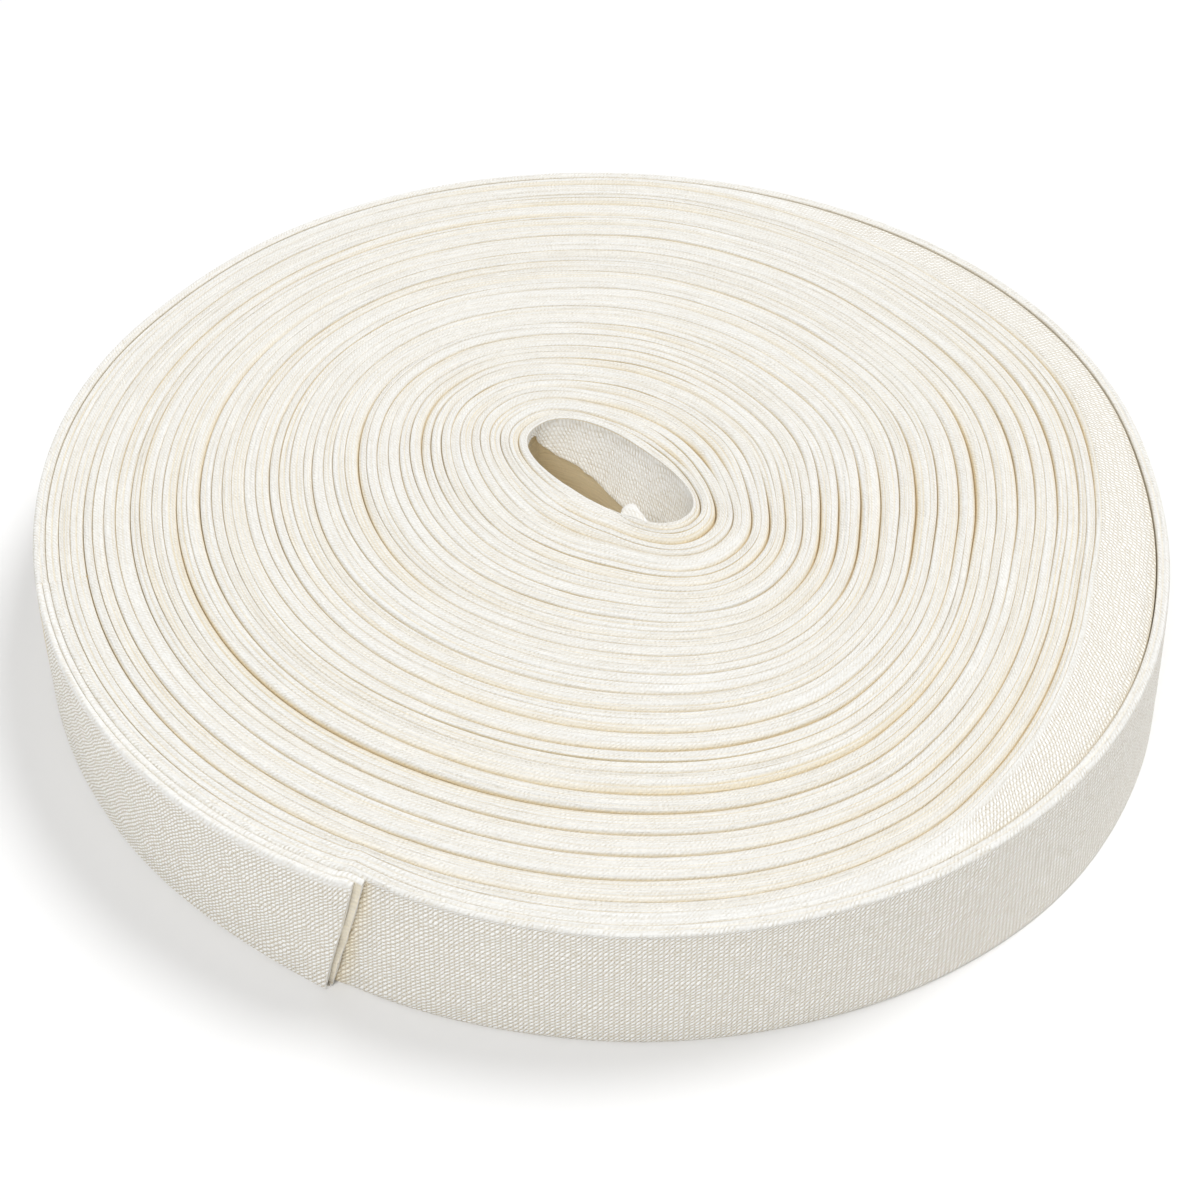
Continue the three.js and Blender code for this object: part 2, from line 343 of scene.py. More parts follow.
def smoothed_rim(angle):
    """The rim without its sudden step beside the cut."""
    away = np.linspace(-2.5, 2.5, 21)
    weight = np.exp(-away**2 / 2)
    return rim_radius(angle[:, None] + away * RIM_SMOOTHING) @ weight / weight.sum()


def reference_radius(winding, angle):
    """The circle that groove number TURNS would follow. The grooves well inside ignore the rim's step."""
    own = smooth_step(TURNS - 2.5, TURNS - 0.2, winding)
    rim = rim_radius(angle) * own + smoothed_rim(angle) * (1 - own)
    step = turned(angle) * (TAPE_THICKNESS + AIR_GAP)
    return rim - LAST_TURN_BAND - LAST_GROOVE_OUTSIDE - face_width(angle) - step


def groove_place(winding, angle):
    """Plan position of the groove that is this many turns out from the seam at the eye."""
    inner = eye_winding(angle)
    along = winding * FULL_TURN
    sway = SWAY * wander(along, "sway") + SHORT_SWAY * wander(along, "short sway")
    sway = sway * np.clip((winding - inner) / SWAY_FADE, 0, 1)
    sway = sway * np.clip((TURNS - winding) / SWAY_FADE, 0, 1)
    share = np.clip((winding + sway - inner) / (TURNS - inner), 0, None)
    edge = eye_edge(angle)
    outer = direction(angle) * reference_radius(winding, angle)[..., None]
    return edge + (outer - edge) * share[..., None]


def openness(winding, angle):
    """How open a groove is, from 0, pressed shut, to 1. The turns stick together in clumps."""
    turn = np.radians(angle)
    phase = CLUMP_SHIFT * np.sin(turn + CLUMP_SHIFT_START) + CLUMP_SMALL_SHIFT * np.sin(2 * turn)
    clump = 0.5 + 0.5 * np.cos(2 * np.pi * winding / CLUMP + phase)
    own = 0.5 + 0.5 * wander(winding * FULL_TURN, "openness")
    left = EVEN_SHARE * smooth_step(*LEFT_SIDE, -np.cos(turn + LEFT_TURN))
    clumped = clump**CLUMP_SHARPNESS * (1 - OWN_SHARE + OWN_SHARE * own)
    even = EVEN_LEAST + EVEN_SPREAD * own**EVEN_SHARPNESS
    return (1 - left) * clumped + left * even


def cell_corners(grid):
    """The four values round each cell of a grid."""
    return np.stack([grid[:-1, :-1], grid[:-1, 1:], grid[1:, 1:], grid[1:, :-1]], 2)


def put_in_scene(name, data):
    thing = bpy.data.objects.new(name, data)
    bpy.context.scene.collection.objects.link(thing)
    return thing


class Shell:
    """A closed mesh under construction, with the cloth's own coordinates and its painted shade on every
    face corner.
    """

    def __init__(self):
        self.points = []
        self.count = 0
        self.faces = []
        self.cloth = []
        self.painted_shade = []
        self.sharp = []

    def add_points(self, xyz):
        flat = np.asarray(xyz, float).reshape(-1, 3)
        self.points.append(flat)
        ids = np.arange(self.count, self.count + len(flat))
        self.count += len(flat)
        return ids.reshape(np.shape(xyz)[:-1])

    def add_grid(self, ids, cloth, painted_shade):
        """Faces over a grid whose first index runs along the tape and whose second runs across it."""
        quads = cell_corners(ids).reshape(-1, 4)
        cloths = cell_corners(cloth).reshape(-1, 4, 3)
        painted_shades = cell_corners(painted_shade).reshape(-1, 4)
        repeated = quads == np.roll(quads, -1, 1)
        whole = ~repeated.any(1)
        self.faces.extend(quads[whole].tolist())
        self.cloth.append(cloths[whole].reshape(-1, 3))
        self.painted_shade.append(painted_shades[whole].reshape(-1))
        for q, c, h, r in zip(quads[~whole], cloths[~whole], painted_shades[~whole], repeated[~whole]):
            if r.sum() == 1:
                self.faces.append(q[~r].tolist())
                self.cloth.append(c[~r])
                self.painted_shade.append(h[~r])

    def add_cap(self, ids, painted_shade):
        """A flat end without weave, with a sharp edge round it."""
        self.faces.append([int(i) for i in ids])
        self.cloth.append(np.zeros((len(ids), 3)))
        self.painted_shade.append(np.full(len(ids), float(painted_shade)))
        loop = list(ids) + [ids[0]]
        self.sharp.extend((min(a, b), max(a, b)) for a, b in zip(loop[:-1], loop[1:]))

    def build(self, name, material):
        mesh = bpy.data.meshes.new(name)
        points = np.concatenate(self.points) * MM
        points[:, 0] += ROLL_CENTRE[0]
        points[:, 1] += ROLL_CENTRE[1]
        mesh.from_pydata(points.tolist(), [], self.faces)
        mesh.attributes.new("cloth", "FLOAT_VECTOR", "CORNER").data.foreach_set(
            "vector", np.concatenate(self.cloth).astype(np.float32).ravel()
        )
        mesh.attributes.new("painted_shade", "FLOAT", "CORNER").data.foreach_set(
            "value", np.concatenate(self.painted_shade).astype(np.float32)
        )
        mesh.polygons.foreach_set("use_smooth", np.ones(len(mesh.polygons), bool))
        if self.sharp:
            wanted = set(self.sharp)
            ends = np.empty(len(mesh.edges) * 2, np.int32)
            mesh.edges.foreach_get("vertices", ends)
            pairs = np.sort(ends.reshape(-1, 2), 1).tolist()
            mesh.edges.foreach_set("use_edge_sharp", [tuple(p) in wanted for p in pairs])
        mesh.materials.append(material)
        mesh.update()
        return put_in_scene(name, mesh)


def outline_middle():
    """Middle of the box round the whole wound outline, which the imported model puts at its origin."""
    angle = np.linspace(SEAM_ANGLE, SEAM_ANGLE + FULL_TURN, 1441)
    loose = np.linspace(SEAM_ANGLE + FULL_TURN, CUT_ANGLE_TOP, 121)
    wall = direction(angle) * (rim_radius(angle) + wall_flare(angle))[:, None]
    end = direction(loose) * (outline("rim", loose) + outline("flare", loose))[:, None]
    foot = np.concatenate([wall, end])
    return (foot.min(0) + foot.max(0)) / 2


box_middle = (np.array(cad_box[0]) + np.array(cad_box[1])) / 2
ROLL_CENTRE = box_middle[:2] - outline_middle() * MM

ANGLES = np.linspace(SEAM_ANGLE, SEAM_ANGLE + FULL_TURN, COLUMNS + 1)

# Points across the top of a turn: share of its width, drop below its crest, how much more it drops with an
# open groove beside it, and whether that is the inner groove, 0, or the outer, 1.
TOP = [
    (0.00, 0.10, 1.00, 0),
    (0.03, 0.05, 0.20, 0),
    (0.13, 0.00, 0.06, 0),
    (0.26, 0.05, 0.00, 0),
    (0.38, 0.00, 0.00, 0),
    (0.50, 0.12, 0.00, 0),
    (0.62, 0.00, 0.00, 1),
    (0.74, 0.05, 0.00, 1),
    (0.87, 0.00, 0.06, 1),
    (0.97, 0.05, 0.20, 1),
    (1.00, 0.10, 1.00, 1),
]
SLIT = 5
# The plies meet in these rows, in slits that come and go along the tape.
PLY_SLITS = (3, 5, 7)
# The leaning face lies between this row and the next. Its own vertices start two further on.
FACE_START = SLIT + 2
FIRST_EXTRA = FACE_START + 2

# Points across half the foot of a turn, as share of its width and height, from its groove to its middle.
FOOT_GROOVE = 0.55
HALF_FOOT = [(0.0, FOOT_GROOVE), (0.03, 0.28), (0.2, 0.07), (0.5, 0.0)]
FOOT = HALF_FOOT + [(1 - share, height) for share, height in HALF_FOOT[-2::-1]]
# Painted shade on the foot under the turns, darker towards its grooves.
FOOT_SHADE = (0.25, 0.5)
# The foot of the turns stays this far inside the outer wall.
FOOT_INSET = 1.25


def groove_bounds(first, last):
    """Plan positions and openness of the grooves on both sides of turns first to last, for every column."""
    places, opens = [], []
    for k in range(first, last + 2):
        winding = np.clip(k - 1 + turned(ANGLES), eye_winding(ANGLES), None)
        if k <= TURNS:
            places.append(groove_place(winding, ANGLES))
            opens.append(openness(winding, ANGLES) * smooth_step(0.0, 0.6, winding - eye_winding(ANGLES)))
        else:
            places.append(direction(ANGLES) * last_groove_radius(ANGLES)[:, None])
            opens.append(np.full(len(ANGLES), LAST_GROOVE_OPENNESS))
    return np.stack(places, 1), np.stack(opens, 1)


def at_height(plan, z):
    return np.concatenate([plan, z[:, None]], 1)


def half_gaps(winding, open_now):
    """Half widths of a groove on its inner and outer side."""
    half = (TIGHT_GAP + (OPEN_GAP - TIGHT_GAP) * open_now) / 2
    late = smooth_step(TURNS - 0.35, TURNS, winding)
    beside_face = smooth_step(0.2, 2.0, face_width(ANGLES))
    inside = LAST_GROOVE_TIGHT + (LAST_GROOVE_INSIDE - LAST_GROOVE_TIGHT) * beside_face
    return half + (inside - half) * late, half + (LAST_GROOVE_OUTSIDE - half) * late


def turn_height(winding):
    """Height of a turn's folded edges."""
    sink = 0.5 + 0.5 * wander(winding * FULL_TURN, "sink")
    ripple = wander(winding * FULL_TURN, "crest ripple")
    return TAPE_WIDTH - TURN_UNEVENNESS * sink - CREST_RIPPLE * (1 + ripple)


def painted_shade_of(k, top, open_in, open_out):
    """Painted shade on the points across turn k, darker the deeper they lie in a groove, from the crests'
    shade to 1.
    """
    painted_shade = CREST_SHADE + np.clip((TAPE_WIDTH - SHADE_START - top[..., 2]) / SHADE_DEPTH, 0, 1)
    # Painted shade in the slits between the plies, deeper where a slit drops further.
    for row in PLY_SLITS:
        if row != SLIT and k == TURNS:
            continue
        depth = (top[:, row, 2] + top[:, row + 2, 2]) / 2 - top[:, row + 1, 2]
        painted_shade[:, row + 1] += SLIT_SHADE * np.clip(depth / TOP[row][1], 0, 2)
    # Painted shade on the line, flank and shoulder of each groove, more where it is open.
    groove_shades = (LINE_SHADE, FLANK_SHADE, SHOULDER_SHADE)
    for step, (shut, wide) in enumerate(groove_shades):
        for row, open_now in ((step, open_in), (-1 - step, open_out)):
            painted_shade[:, row] = np.maximum(painted_shade[:, row], shut + (wide - shut) * open_now)
    # The leaning face is painted with little shade, and its outer edge with painted shade deepening into
    # the groove.
    if k == TURNS:
        face = smooth_step(0.3, 1.5, face_width(ANGLES))[:, None]
        painted_shade[:, FACE_START:] += (FACE_SHADE - painted_shade[:, FACE_START:]) * face
        rows = len(FACE_EDGE_SHADES)
        painted_shade[:, -rows:] += (np.array(FACE_EDGE_SHADES) - painted_shade[:, -rows:]) * face
    return np.clip(painted_shade, 0, 1)


def turn_top(k, inner, outer, open_in, open_out):
    """Points across the top of turn k from its inner to its outer groove, for every column."""
    winding_in = k - 1 + turned(ANGLES)
    winding_out = winding_in + 1
    wound = winding_in * FULL_TURN
    gap_in = half_gaps(winding_in, open_in)[1]
    gap_out = half_gaps(winding_out, open_out)[0]
    face = face_width(ANGLES) if k == TURNS else np.zeros(len(ANGLES))
    width = np.linalg.norm(outer - inner, axis=-1)
    body = np.maximum(width - gap_in - gap_out - face, LEAST_BODY * np.minimum(width, 1))
    squeeze = np.clip(body / SQUEEZED_WIDTH, 0, 1)
    along = (outer - inner) / np.maximum(width, 1e-6)[:, None]
    height = turn_height(winding_in + 0.5)
    lean = TOP_LEAN * wander(wound, "lean") * squeeze
    start = np.minimum(gap_in, width * MOST_OF_GAP)
    points = []

    def add(distance, z):
        points.append(at_height(inner + along * distance[:, None], z))

    def add_face():
        """The woven face that leans outwards, between its crest and its outer edge."""
        for row in range(1, FACE_ROWS + 1):
            t = row / (FACE_ROWS + 1)
            bow = 2 * FACE_SHOULDER * t + (1 - 2 * FACE_SHOULDER) * t * t
            distance = start + body * TOP[FACE_START][0] + face * t
            add(distance, height - face * FACE_SLOPE * bow - FACE_DROP)

    deep_in = SHALLOW_GROOVE + (DEEP_GROOVE - SHALLOW_GROOVE) * open_in
    deep_out = SHALLOW_GROOVE + (DEEP_GROOVE - SHALLOW_GROOVE) * open_out
    add(np.zeros(len(ANGLES)), height_of_groove(winding_in) - deep_in)
    for index, (share, drop, open_drop, side) in enumerate(TOP):
        open_now = open_out if side else open_in
        deep = deep_out if side else deep_in
        past_face = k == TURNS and index > FACE_START
        if index in PLY_SLITS:
            fall = drop * (1 + SLIT_UNEVENNESS * wander(wound, "ply slits", index)) * squeeze
        elif open_drop == 1.0:
            fall = drop + EDGE_SHARE_OF_GROOVE * (deep - SHALLOW_GROOVE)
        else:
            fall = (drop + open_drop * open_now) * squeeze
        slope = SLOPE_TO_GROOVE * (open_in**1.5 * (1 - share) ** 2 + open_out**1.5 * share**2)
        tip = lean * (2 * share - 1)
        if past_face:
            slope = slope * (1 - smooth_step(0, 1.5, face))
        here = height - fall - slope * squeeze - tip
        distance = start + body * share
        if past_face:
            here = here - face * FACE_SLOPE
            distance = distance + face
        if past_face and index == FACE_START + 1:
            add_face()
        add(distance, here)
    end_height = height_of_groove(winding_out) - deep_out - face * FACE_SLOPE
    points.append(at_height(outer, end_height))
    return np.stack(points, 1)


def height_of_groove(winding):
    """Height that a groove's depth is counted from: between its neighbours'."""
    return (turn_height(winding - 0.5) + turn_height(winding + 0.5)) / 2


def along_tape(inner, outer, start):
    """Length of tape from its inner end to each column of a turn."""
    middle = (inner + outer) / 2
    steps = np.linalg.norm(np.diff(middle, axis=0), axis=1)
    return start + np.concatenate([[0], np.cumsum(steps)])


def cloth_coords(u, v, weave):
    out = np.empty(v.shape + (3,))
    out[..., 0] = u[:, None]
    out[..., 1] = v
    out[..., 2] = weave
    return out


def across(points):
    """Distance across the tape from the first point of each section."""
    steps = np.linalg.norm(np.diff(points, axis=1), axis=2)
    return np.concatenate([np.zeros((len(points), 1)), np.cumsum(steps, 1)], 1)


def turn_foot(k, inner, outer):
    """Points across the foot of turn k from its inner to its outer groove, for every column."""
    rim, flare = rim_radius(ANGLES), wall_flare(ANGLES)
    base_in, base_out = spread_foot(inner, flare / rim), spread_foot(outer, flare / rim)
    if k == TURNS:
        radius = np.linalg.norm(base_out, axis=1)
        base_out = base_out * (np.minimum(radius, rim + flare - FOOT_INSET) / radius)[:, None]
    squeeze = np.clip(np.linalg.norm(base_out - base_in, axis=1) / SQUEEZED_WIDTH, 0, 1)
    points = []
    for share, height in FOOT:
        z = FOOT_GROOVE + (height - FOOT_GROOVE) * squeeze
        points.append(at_height(base_in + (base_out - base_in) * share, z))
    return np.stack(points, 1)


def build_turns(name, first, last, material):
    """Turns first to last as one closed relief, wound as a spiral."""
    shell = Shell()
    places, opens = groove_bounds(first, last)
    count = last - first + 1
    has_eye = first == 0
    tops, feet, us = [], [], []
    u = np.zeros(1)
    for n in range(count):
        k = first + n
        inner, outer = places[:, n], places[:, n + 1]
        tops.append(turn_top(k, inner, outer, opens[:, n], opens[:, n + 1]))
        u = along_tape(inner, outer, u[-1])
        us.append(u)
        feet.append(turn_foot(k, inner, outer))

    top_ids = welded_ids(shell, tops, has_eye)
    foot_ids = welded_ids(shell, feet, has_eye)
    for n in range(count):
        top, foot = tops[n], feet[n]
        v = across(top)
        middle_v = v[:, SLIT + 1][:, None]
        painted_shade = painted_shade_of(first + n, top, opens[:, n], opens[:, n + 1])
        shell.add_grid(top_ids[n], cloth_coords(us[n], v - middle_v, weave_of_top(first + n, top)), painted_shade)
        back = foot[:, ::-1]
        cloth_foot = cloth_coords(us[n], across(back) + TAPE_WIDTH, FOOT_WEAVE)
        # The foot is painted in shade, darker up into its grooves.
        foot_shade = FOOT_SHADE[0] + back[..., 2] / FOOT_GROOVE * FOOT_SHADE[1]
        shell.add_grid(foot_ids[n][:, ::-1], cloth_foot, foot_shade)
    # The sides hide between the turns, painted in full shade.
    outer_side = np.stack([top_ids[-1][:, -1], foot_ids[-1][:, -1]], 1)
    plain = np.stack([np.zeros(COLUMNS + 1), np.full(COLUMNS + 1, TAPE_WIDTH)], 1)
    shell.add_grid(outer_side, cloth_coords(us[-1], plain, 0.0), np.ones(outer_side.shape))
    if has_eye:
        add_eye_wall(shell, top_ids[0][:, 0], foot_ids[0][:, 0], us[0])
        add_tongue(shell)
    else:
        inner_side = np.stack([foot_ids[0][:, 0], top_ids[0][:, 0]], 1)
        shell.add_grid(inner_side, cloth_coords(us[0], plain, 0.0), np.ones(inner_side.shape))
        start = list(top_ids[0][0]) + list(foot_ids[0][0][::-1])
        shell.add_cap(start[::-1], 1)
    # The end cap, like the start cap, is painted in full shade.
    end = list(top_ids[-1][-1]) + list(foot_ids[-1][-1][::-1])
    shell.add_cap(end, 1)
    return shell.build(name, material)


def spread_foot(plan, spread):
    """The turns lean out at the foot as the wall does, less and less towards the middle."""
    radius = np.linalg.norm(plan, axis=-1)
    return plan * (1 + spread * np.clip(radius / 50, 0, 1) ** 2)[..., None]


def weave_of_top(k, top):
    """How clearly the weave shows across the top of a turn."""
    weave = np.full(top.shape[:2], EDGE_WEAVE)
    if k == TURNS:
        shown = smooth_step(0.5, 2, face_width(ANGLES))[:, None]
        weave[:, FACE_START : FACE_START + FACE_ROWS + 4] = EDGE_WEAVE + FACE_WEAVE * shown
    return weave


def welded_ids(shell, rows, has_eye):
    """Vertex numbers for the points of each turn.

    Neighbouring turns share the groove between them, and each turn's last column is the next turn's first.
    """
    count = len(rows)
    starts_late = turned(ANGLES) <= eye_winding(ANGLES) + 1e-9
    ids = []
    for n in range(count):
        points = rows[n]
        size = points.shape[1]
        mine = np.empty((COLUMNS + 1, size), int)
        if n == 0:
            mine[:, :] = shell.add_points(points)
        else:
            mine[:, 0] = ids[-1][:, -1]
            mine[:, 1:] = shell.add_points(points[:, 1:])
        ids.append(mine)
    if has_eye:
        gone = np.where(starts_late)[0]
        ids[0][gone, :] = ids[0][gone, -1][:, None]
    if rows[-1].shape[1] > rows[0].shape[1]:
        narrow = face_width(ANGLES) <= 0
        for column in range(FIRST_EXTRA, FIRST_EXTRA + FACE_ROWS):
            ids[-1][narrow, column] = ids[-1][narrow, FIRST_EXTRA - 1]
    for n in range(count - 1):
        after = ids[n + 1][0]
        if len(after) > ids[n].shape[1]:
            after = np.concatenate([after[:FIRST_EXTRA], after[FIRST_EXTRA + FACE_ROWS :]])
        ids[n][-1] = after
    if count > 1:
        ids[-1][-1, 0] = ids[-2][-1, -1]
    return ids


class Rows:
    """Rows of points along the tape, each with its distance across it, its weave and its painted shade."""

    def __init__(self):
        self.points, self.v, self.weave, self.painted_shade = [], [], [], []

    def add(self, plan, z, v, weave, painted_shade):
        self.points.append(at_height(plan, np.broadcast_to(z, len(plan))))
        self.v.append(np.broadcast_to(v, len(plan)))
        self.weave.append(np.broadcast_to(weave, len(plan)))
        self.painted_shade.append(np.broadcast_to(painted_shade, len(plan)))


# Rows of the flap, as share of its drop still to go, and of the wall below it, as share of its height.
EYE_ROWS = [0.93, 0.87, 0.8, 0.72, 0.63, 0.53, 0.42, 0.31, 0.2, 0.1]
UNDER_ROWS = [0.05, 0.2, 0.4, 0.6, 0.8, 0.97]
# Painted shade on the wall below the flap's raw edge.
UNDER_FLAP_SHADE = 0.6
EYE_SHOULDER = 0.62
PLAIN_RECESS = 0.12
FLAP_WEAVE = 0.7
RAW_EDGE_JAG = 0.13
RAW_EDGE_WAVES = 0.12


def add_eye_wall(shell, top_ids, foot_ids, u):
    """The wall of the eye, from its foot up: the wall behind in painted shade, the raw edge of the flap,
    and its weave, the flap painted at its palest as painted light.
    """
    edge_plan = eye_edge(ANGLES)
    out, to_far_side = direction(ANGLES), direction(EYE_TILT + 90)
    recess = look_up(FLAP, FLAP_COLUMNS, "recess", ANGLES)
    edge = look_up(FLAP, FLAP_COLUMNS, "edge", ANGLES)
    jut = np.maximum(look_up(FLAP, FLAP_COLUMNS, "jut", ANGLES), 0)
    showing = smooth_step(0.1, 0.6, jut + recess - PLAIN_RECESS)
    jag = RAW_EDGE_JAG * wander(u, "raw edge") + RAW_EDGE_WAVES * wander(u, "raw edge waves")
    edge = edge + jag * showing
    behind = np.maximum(jut - FLAP_STEP, 0)
    at_rim = np.zeros(len(ANGLES))
    top = TAPE_WIDTH - EYE_SHOULDER
    stretch = np.hypot(jut, top - edge) / (top - edge)
    rows = Rows()

    def add(back, jut_now, z, weave, painted_shade):
        plan = edge_plan + out * back[:, None] - to_far_side * jut_now[:, None]
        rows.add(plan, z, TAPE_WIDTH - top + (top - z) * stretch, weave, painted_shade)

    for share in UNDER_ROWS:
        add(recess, behind, edge * share, 0.0, UNDER_FLAP_SHADE)
    add(recess * 0.95, behind, edge - 0.02, 0.0, UNDER_FLAP_SHADE)
    # From the raw edge up, the flap is painted at the palest, a painted light that brightens it.
    add(recess * 0.15, np.maximum(jut - 0.04, 0), edge - 0.05, 0.2, 0.1)
    add(at_rim, jut, edge + 0.02, 0.6, 0.0)
    for share in EYE_ROWS:
        z = edge + (top - edge) * (1 - share)
        add(at_rim, jut * share**FLAP_CURVE, z, FLAP_WEAVE, 0.0)
    mine = shell.add_points(np.stack(rows.points, 1))
    mine[-1] = mine[0]
    ids = np.concatenate([foot_ids[:, None], mine, top_ids[:, None]], 1)

    def framed(at_foot, values, at_top):
        column = np.ones((len(ANGLES), 1))
        return np.concatenate([column * at_foot, np.stack(values, 1), column * at_top], 1)

    v = framed(TAPE_WIDTH, rows.v, TAPE_WIDTH - top)
    shell.add_grid(ids, cloth_coords(u, v, framed(0, rows.weave, 0.6)), framed(1, rows.painted_shade, 0.03))


# The curled corner of the tape's inner end, over the near rim of the eye.
# Both sides run from the rim, bending at the middle corner, to the blunt tip.
TONGUE_LEFT = ((1.7, -5.3, 12.0), (1.75, -4.4, 12.35), (2.7, -4.3, 12.45))
TONGUE_RIGHT = ((4.5, -6.85, 12.05), (3.6, -5.4, 12.4), (3.05, -4.45, 12.45))
TONGUE_ARCH = 0.3
TONGUE_THICKNESS = 0.2
TONGUE_STEPS = 12
TONGUE_WEAVE = 0.35
# Painted light on the tongue's top, and painted shade on its underside.
TONGUE_SHADE = 0.02
TONGUE_UNDER_SHADE = 0.32


def border(grid):
    """The values round the edge of a grid, back to the first."""
    return np.concatenate([grid[:, 0], grid[-1, 1:], grid[-2::-1, -1], grid[0, -2::-1]])


def bent_side(corners, t):
    """Points along a curve between the outer corners that is drawn towards the middle one."""
    a, b, c = (np.array(corner) for corner in corners)
    t = t[..., None]
    return a * (1 - t) ** 2 + 2 * b * t * (1 - t) + c * t**2


def add_tongue(shell):
    """A small rounded tab of cloth, curled like a half pipe, closed all round."""
    s = np.linspace(0, 1, TONGUE_STEPS + 1)[:, None]
    t = np.linspace(0, 1, TONGUE_STEPS + 1)[None, :]
    left, right = bent_side(TONGUE_LEFT, t), bent_side(TONGUE_RIGHT, t)
    points = left + (right - left) * s[..., None]
    width = np.linalg.norm(right - left, axis=-1)
    arch = np.sin(math.pi * s) * width / width.max() * (0.5 + 0.5 * np.sin(math.pi * t))
    points[..., 2] = np.minimum(points[..., 2] + TONGUE_ARCH * arch, TAPE_WIDTH - 0.03)
    up = np.cross(np.gradient(points, axis=0), np.gradient(points, axis=1))
    up /= np.linalg.norm(up, axis=-1)[..., None]
    above = shell.add_points(points)
    below = shell.add_points(points - up * TONGUE_THICKNESS)
    flat = np.empty(points.shape)
    flat[..., 0] = s * width
    flat[..., 1] = t * np.linalg.norm(left[0, -1] - left[0, 0])
    flat[..., 2] = TONGUE_WEAVE
    shell.add_grid(above[::-1], flat[::-1], np.full(above.shape, TONGUE_SHADE))
    shell.add_grid(below, flat, np.full(below.shape, TONGUE_UNDER_SHADE))
    # Its rim is painted at the palest, a painted light on its edge.
    rim = np.stack([border(above), border(below)], 1)
    rim_cloth = np.stack([border(flat), border(flat)], 1)
    shell.add_grid(rim, rim_cloth, np.zeros(rim.shape))


# Heights on the hidden inner side of the last turn, and the painted shade on it, deep in the groove.
INNER_SIDE = (0.5, 4.0, 8.0, 10.5, 11.8)
INNER_SIDE_SHADE = 0.5

# Points across the last turn's top: share of its width from the wall, drop, weave and painted shade. The
# slit between its folded edges drops unevenly along the tape, and the crests beside it are rippled.
LAST_TOP = [
    (1.0, 0.16, 0.35, 0.3),
    (0.93, 0.07, 0.35, 0.12),
    (0.8, 0.01, 0.35, 0.06),
    (0.66, 0.03, 0.35, 0.06),
    (0.56, None, 0.3, 0.2),
    (0.46, 0.03, 0.4, 0.06),
    (0.3, 0.0, 0.45, 0.06),
    (0.15, 0.06, 0.5, 0.06),
    (0.05, 0.2, 0.7, 0.06),
]
LAST_RIPPLED = (0.3, 0.9)
LAST_RIPPLE = 0.03
LAST_DROP = 0.04
LAST_SLIT = 0.16
LAST_SLIT_UNEVENNESS = 0.06

# Points round the last turn's foot: distance in from the wall, height, distance across the tape past its
# width, weave and painted shade. The inner side follows, this far across.
LAST_FOOT = [
    (0.06, 0.12, 0.0, 1.0, 0.1),
    (0.2, 0.02, 0.2, 0.8, 0.3),
    (0.5, 0.0, 0.5, 0.6, 0.4),
    (0.85, 0.08, 0.9, 0.6, 0.5),
]
INNER_SIDE_PAST = 1.3

# The outer wall: rows, where it starts and ends, its bulge, and its waves.
WALL_ROWS = 22
WALL_TOP = 0.42
WALL_FOOT = 0.32
WALL_BULGE = 0.05
WALL_WAVES = 0.05
WALL_RIPPLE = 0.02

# Beside the cut the wall is in the loose end's shade, over these degrees.
BESIDE_CUT = (0.3, 2.4)
SHADE_HOLLOW = 0.4


def cut_angle(z):
    """Where the slanted cut of the loose end is at this height, counted on the roll's own wall."""
    return CUT_ANGLE_FOOT + (CUT_ANGLE_TOP - CUT_ANGLE_FOOT) * z / TAPE_WIDTH - FULL_TURN


